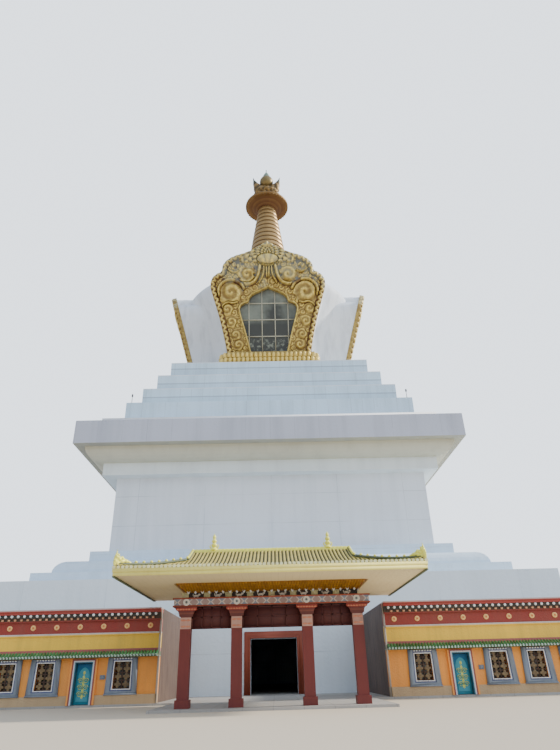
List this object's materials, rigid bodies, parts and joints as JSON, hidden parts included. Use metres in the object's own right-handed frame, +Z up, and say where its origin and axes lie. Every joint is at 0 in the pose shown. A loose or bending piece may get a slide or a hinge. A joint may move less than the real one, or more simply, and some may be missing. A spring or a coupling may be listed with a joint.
{
  "type": "scale model of a stupa with an entrance porch",
  "caption": "Half-size model of a white stupa on a square ground storey with gilded bell windows, a ringed spire and an entrance porch with a tiled roof; two side doors open.",
  "frame": {"origin": "on the ground, on the stupa's vertical axis, at the underside of the ground floor", "axes": "+Z up, the porch faces -Y, +X to the right of someone who faces the porch from outside"},
  "size_m": [28.02, 32.18, 33.925],
  "materials": {
    "stone": "cut tan stone, matt",
    "ochre_wall": "ochre and orange wall paint on masonry, matt",
    "maroon_frieze": "maroon wall paint on masonry, matt",
    "window_glass": "dark clear glass",
    "dark_render": "dark grey-brown render with an upright grain",
    "cream_soffit": "cream paint on a flat soffit",
    "grey_trim": "pale grey painted timber",
    "teal_door": "teal painted timber, satin",
    "white_paint": "white masonry paint with faint rain streaks",
    "gilt": "gilded metal, bright on the crests and dark in the grooves",
    "gilded_copper": "copper-coloured gilding, satin",
    "painted_timber": "maroon and orange painted timber with gilding",
    "golden_tile": "golden roof tile, satin"
  },
  "bodies": {
    "stupa": {"ground_floor": "stone", "terrace_roof": "stone", "front_wall_left_inner": "ochre_wall", "front_wall_left_near": "ochre_wall", "front_wall_left_middle": "ochre_wall", "front_wall_left_far": "ochre_wall", "front_wall_right_inner": "ochre_wall", "front_wall_right_near": "ochre_wall", "front_wall_right_middle": "ochre_wall", "front_wall_right_far": "ochre_wall", "left_wall": "ochre_wall", "right_wall": "ochre_wall", "back_wall": "ochre_wall", "front_frieze_left": "maroon_frieze", "front_frieze_right": "maroon_frieze", "glass_front_left": "window_glass", "glass_front_right": "window_glass", "glass_left": "window_glass", "glass_right": "window_glass", "glass_back": "window_glass", "window_pane_front": "window_glass", "window_pane_right": "window_glass", "window_pane_back": "window_glass", "window_pane_left": "window_glass", "recess_wall_left": "dark_render", "recess_wall_right": "dark_render", "porch_ceiling": "cream_soffit", "door_frame_left": "grey_trim", "door_frame_right": "grey_trim", "core_walls": "white_paint", "core_roof": "white_paint", "tier_lower": "white_paint", "tier_rounded": "white_paint", "tier_upper": "white_paint", "body_walls": "white_paint", "cornice_band": "white_paint", "cornice_ovolo": "white_paint", "cornice_slab": "white_paint", "step_lowest": "white_paint", "step_second": "white_paint", "step_third": "white_paint", "step_top": "white_paint", "bell": "white_paint", "window_frame_front": "gilt", "window_frame_right": "gilt", "window_frame_back": "gilt", "window_frame_left": "gilt", "harmika": "gilt", "crown": "gilt", "spire_rings": "gilded_copper", "parasol": "gilded_copper", "porch_column_outer_left": "painted_timber", "porch_column_inner_left": "painted_timber", "porch_column_inner_right": "painted_timber", "porch_column_outer_right": "painted_timber", "porch_beams": "painted_timber", "porch_roof": "golden_tile", "porch_ridge": "golden_tile"},
    "door_leaf_left": {"door_left": "teal_door"},
    "door_leaf_right": {"door_right": "teal_door"}
  },
  "joints": [
    {"name": "door_left_hinge", "type": "hinge", "parent": "stupa", "child": "door_leaf_left", "pos_m": [-4.622, -13.71, 0.5], "axis": [0, 0, -1], "range_deg": [0, 90]},
    {"name": "door_right_hinge", "type": "hinge", "parent": "stupa", "child": "door_leaf_right", "pos_m": [4.622, -13.71, 0.5], "axis": [0, 0, 1], "range_deg": [0, 90]}
  ]
}
